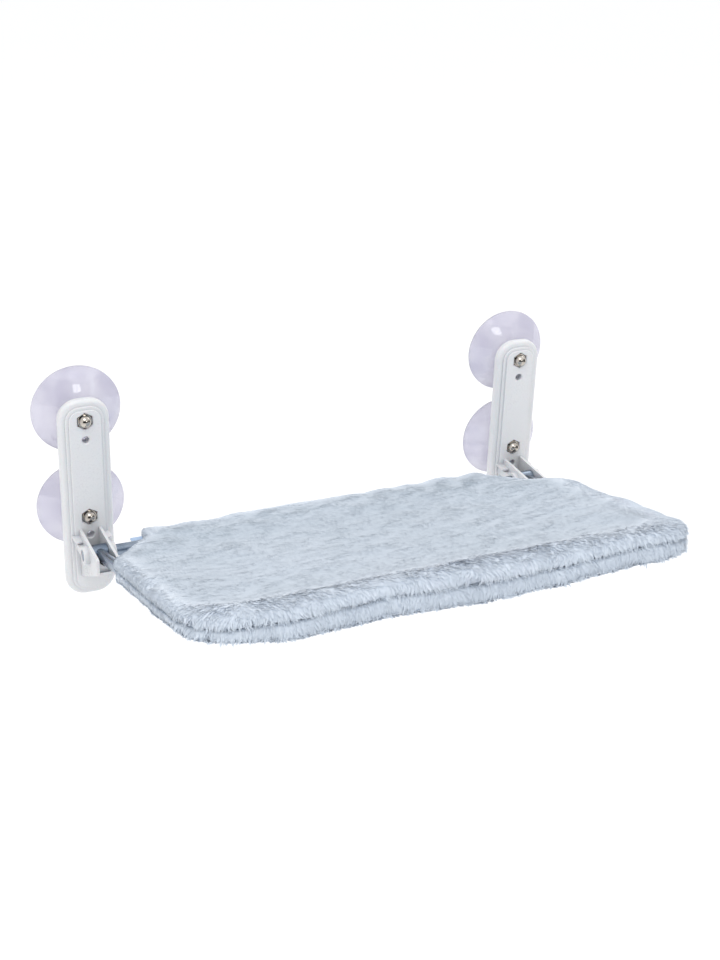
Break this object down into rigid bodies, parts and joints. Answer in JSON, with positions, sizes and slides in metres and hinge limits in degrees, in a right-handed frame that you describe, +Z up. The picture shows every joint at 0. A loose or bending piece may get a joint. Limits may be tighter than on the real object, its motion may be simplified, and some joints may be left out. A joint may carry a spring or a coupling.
{
  "type": "window cat hammock",
  "caption": "Plush-covered tube platform hinged on moulded brackets that hold on a window by clear suction cups.",
  "frame": {"origin": "on the glass plane, in the middle of the rectangle of the four suction cups", "axes": "+X along the window to the right as seen from the room, +Y into the glass, +Z up"},
  "size_m": [0.572, 0.3771, 0.237],
  "materials": {
    "white_plastic": "satin",
    "clear_pvc": "gloss",
    "bright_nickel": "polished",
    "zinc_steel": "gloss",
    "grey_plastic": "matte",
    "blue_plush": "matte",
    "blue_tape": "satin",
    "blue_coil": "satin",
    "pale_metal": "gloss"
  },
  "bodies": {
    "window_mount": {"left_bracket": "white_plastic", "right_bracket": "white_plastic", "left_upper_cup": "clear_pvc", "left_lower_cup": "clear_pvc", "right_upper_cup": "clear_pvc", "right_lower_cup": "clear_pvc", "left_cup_studs": "bright_nickel", "right_cup_studs": "bright_nickel", "left_acorn_nuts": "bright_nickel", "right_acorn_nuts": "bright_nickel"},
    "platform": {"left_knuckle": "zinc_steel", "right_knuckle": "zinc_steel", "cross_tube": "zinc_steel", "bent_frame": "zinc_steel", "tube_end_plugs": "grey_plastic", "axle_screws": "bright_nickel", "arm_screws": "bright_nickel", "cover_top": "blue_plush", "cover_bottom": "blue_plush", "zip_tape": "blue_tape", "zip_chain": "blue_coil"},
    "slider": {"zip_slider": "pale_metal"},
    "pull": {"zip_pull": "pale_metal"}
  },
  "joints": [
    {"name": "platform_fold", "type": "hinge", "parent": "window_mount", "child": "platform", "pos_m": [0, -0.0636, -0.0779], "axis": [-1, 0, 0], "range_deg": [0, 70]},
    {"name": "zip_slide", "type": "slide", "parent": "platform", "child": "slider", "axis": [1, 0, 0], "range_m": [0, 0.376]},
    {"name": "pull_swing", "type": "hinge", "parent": "slider", "child": "pull", "pos_m": [-0.188, -0.04157, -0.08339], "axis": [1, 0, 0], "range_deg": [-15, 110]}
  ]
}
